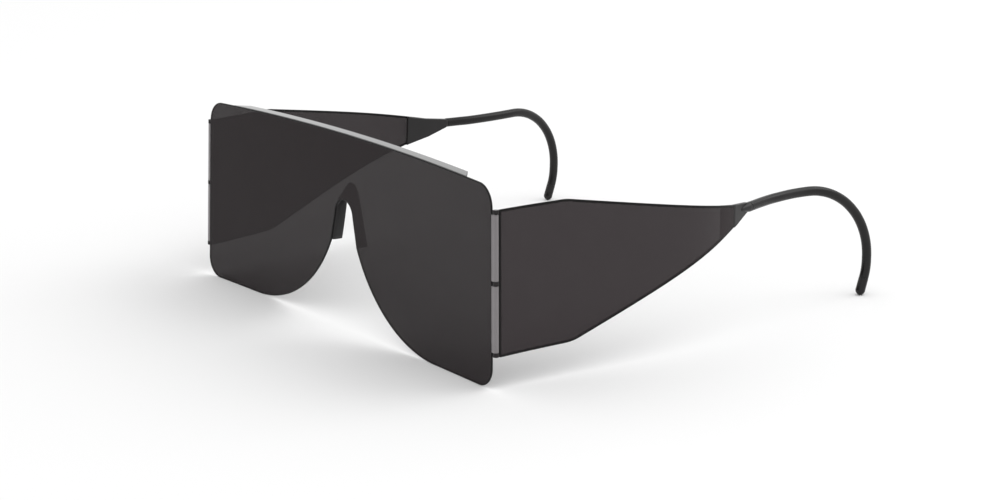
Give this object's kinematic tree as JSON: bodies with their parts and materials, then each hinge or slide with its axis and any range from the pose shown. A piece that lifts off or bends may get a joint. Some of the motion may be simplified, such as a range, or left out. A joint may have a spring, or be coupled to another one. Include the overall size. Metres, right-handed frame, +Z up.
{
  "type": "post mydriatic sunglasses",
  "caption": "Wrap-round dark film sunglasses worn after eye drops, with a one-piece lens sheet, hinged tapering side shields and sheathed wire ear hooks.",
  "frame": {"origin": "centre of the footprint, on the surface the glasses stand on", "axes": "+X to the wearer's left, +Y from the lenses towards the ears, +Z up; the front leans back by 3 degrees because the glasses stand on lens edges and ear tips"},
  "size_m": [0.1672, 0.1436, 0.0587],
  "materials": {
    "smoke_film": "glossy smoke-tinted film",
    "gloss_film": "glossy dark film, bright where it mirrors light",
    "clear_smoke": "thin translucent smoke-tinted plastic",
    "pin_clear": "clear nylon line",
    "satin_black": "satin black moulded plastic",
    "soft_black": "soft black vinyl",
    "wire_steel": "drawn steel wire"
  },
  "bodies": {
    "front": {"front_shield": "smoke_film", "brow_ledge": "gloss_film", "nose_saddle": "satin_black", "hinge_barrel_upper_left": "clear_smoke", "hinge_barrel_lower_left": "clear_smoke", "hinge_barrel_upper_right": "clear_smoke", "hinge_barrel_lower_right": "clear_smoke"},
    "temple_left": {"hinge_knuckle_top_left": "satin_black", "hinge_knuckle_middle_left": "satin_black", "hinge_knuckle_bottom_left": "satin_black", "hinge_pin_left": "pin_clear", "side_shield_left": "smoke_film", "ear_paddle_left": "satin_black", "ear_core_left": "wire_steel", "ear_sleeve_left": "soft_black", "ear_tip_left": "soft_black"},
    "temple_right": {"hinge_knuckle_top_right": "satin_black", "hinge_knuckle_middle_right": "satin_black", "hinge_knuckle_bottom_right": "satin_black", "hinge_pin_right": "pin_clear", "side_shield_right": "smoke_film", "ear_paddle_right": "satin_black", "ear_core_right": "wire_steel", "ear_sleeve_right": "soft_black", "ear_tip_right": "soft_black"}
  },
  "joints": [
    {"name": "fold_left", "type": "hinge", "parent": "front", "child": "temple_left", "pos_m": [0.07687, -0.07035, 0.0302], "axis": [-0.0314, 0.0539, 0.9981], "range_deg": [0, 86]},
    {"name": "fold_right", "type": "hinge", "parent": "front", "child": "temple_right", "pos_m": [-0.07687, -0.07035, 0.0302], "axis": [-0.0314, -0.0539, -0.9981], "range_deg": [0, 50]}
  ]
}
